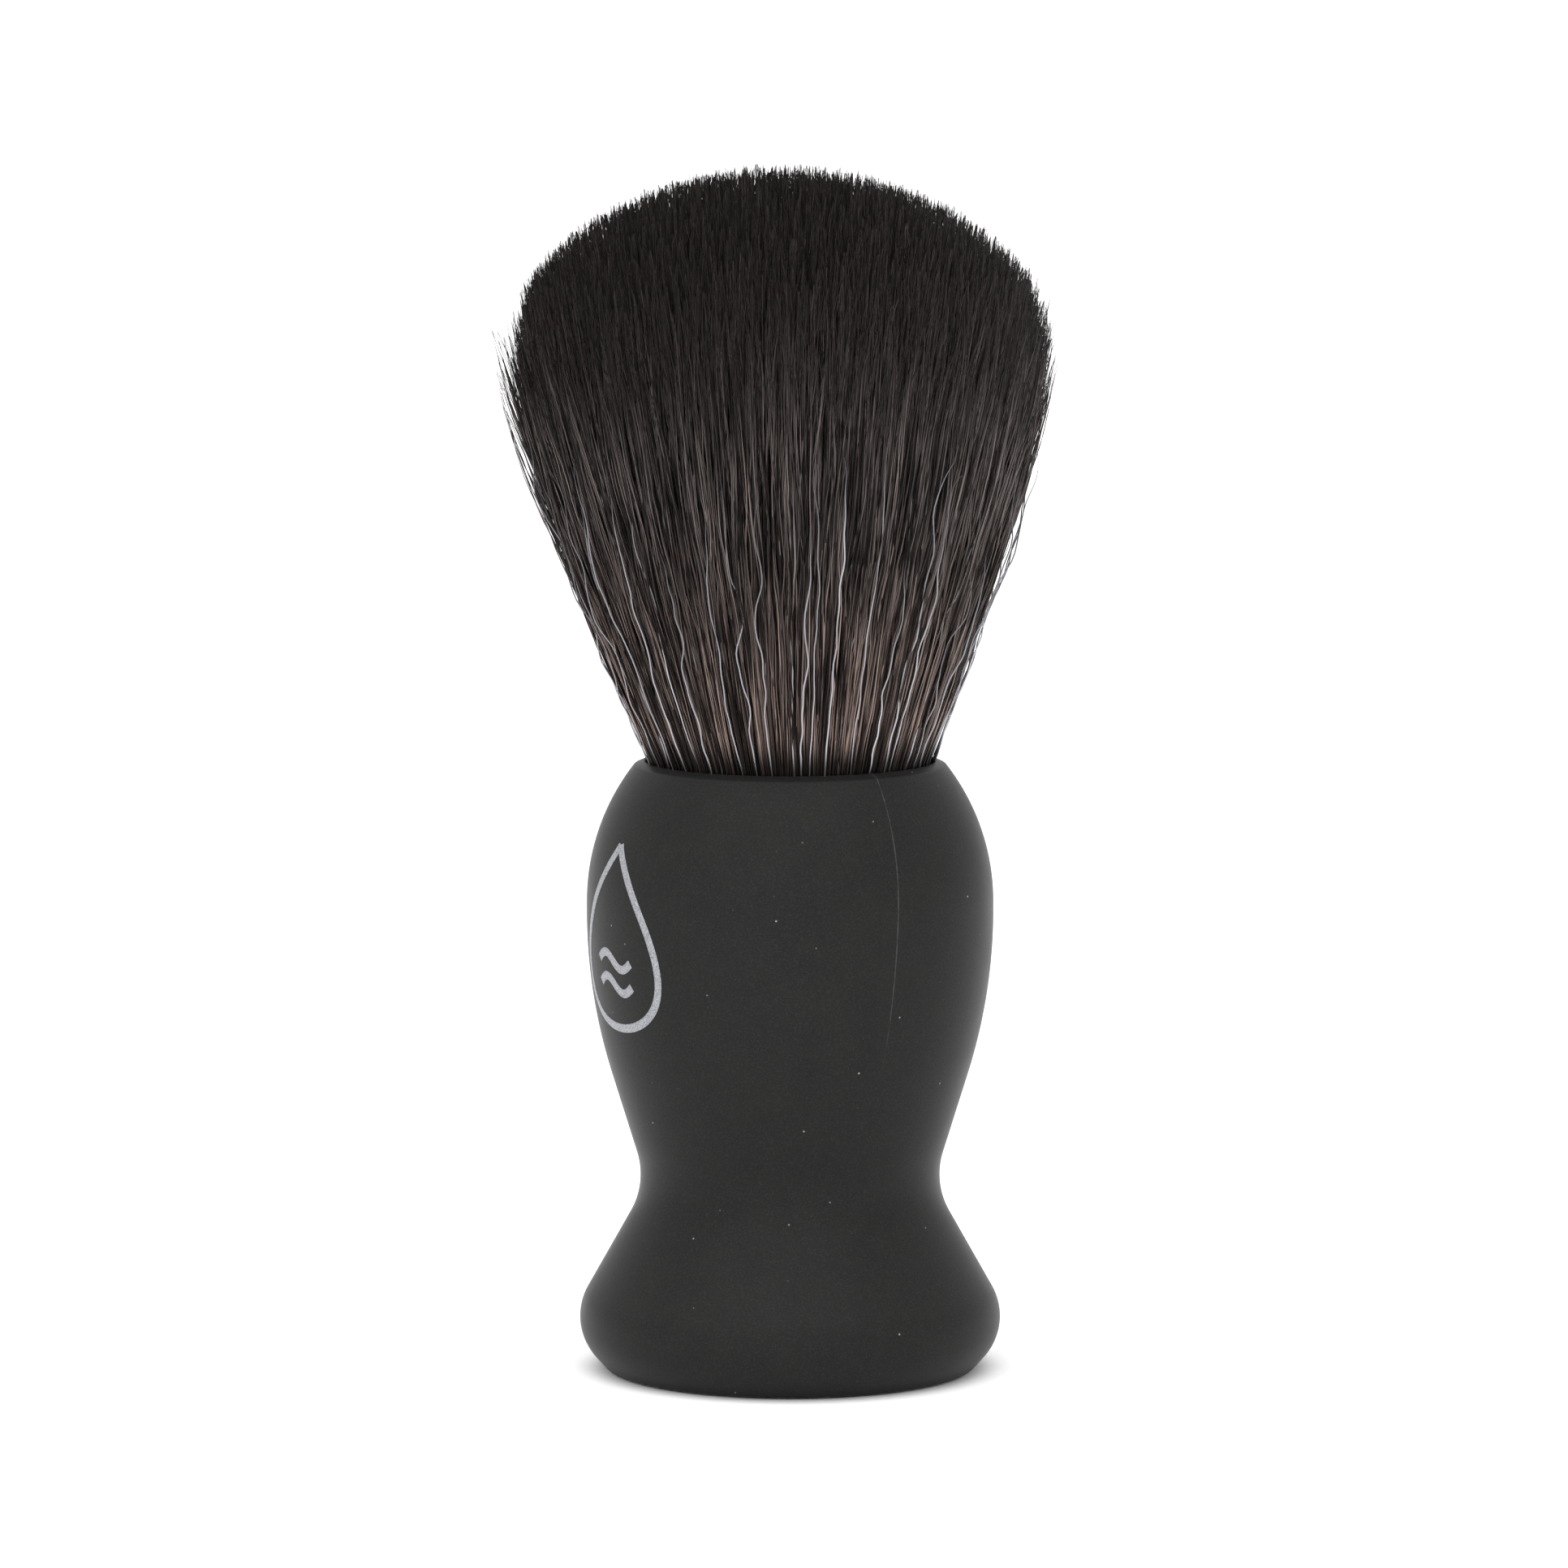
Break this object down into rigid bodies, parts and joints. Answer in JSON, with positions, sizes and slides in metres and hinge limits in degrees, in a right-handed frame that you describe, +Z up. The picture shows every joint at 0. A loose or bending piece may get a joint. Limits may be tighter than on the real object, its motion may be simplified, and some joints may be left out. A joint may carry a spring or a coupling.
{
  "type": "shaving brush",
  "caption": "Shaving brush with a waisted, weighted handle in soft-touch black and a full fan of dark fibres bound in its top.",
  "frame": {"origin": "centre of the foot pad's underside, on the surface that the brush stands on", "axes": "+Z up along the brush's own axis, from the foot to the fibre tips; the brush is round, so +X and +Y are free"},
  "size_m": [0.0496, 0.0496, 0.112],
  "materials": {
    "soft_touch_black": "soft-touch rubberised coat over moulded resin",
    "dark_fibre": "fine crimped synthetic hair, near black with brown towards the root",
    "binding_thread": "waxed thread",
    "knot_resin": "cast resin",
    "clear_adhesive": "cured epoxy",
    "ballast_steel": "turned bar",
    "base_black": "plain moulded",
    "pad_rubber": "fine-textured non-slip sheet"
  },
  "bodies": {
    "root": {"handle_body": "soft_touch_black", "fibre_bundle": "dark_fibre", "knot_thread": "binding_thread", "knot_plug": "knot_resin", "socket_adhesive": "clear_adhesive", "ballast_slug": "ballast_steel", "ballast_adhesive": "clear_adhesive", "base_disc": "base_black", "foot_pad": "pad_rubber"}
  },
  "joints": []
}
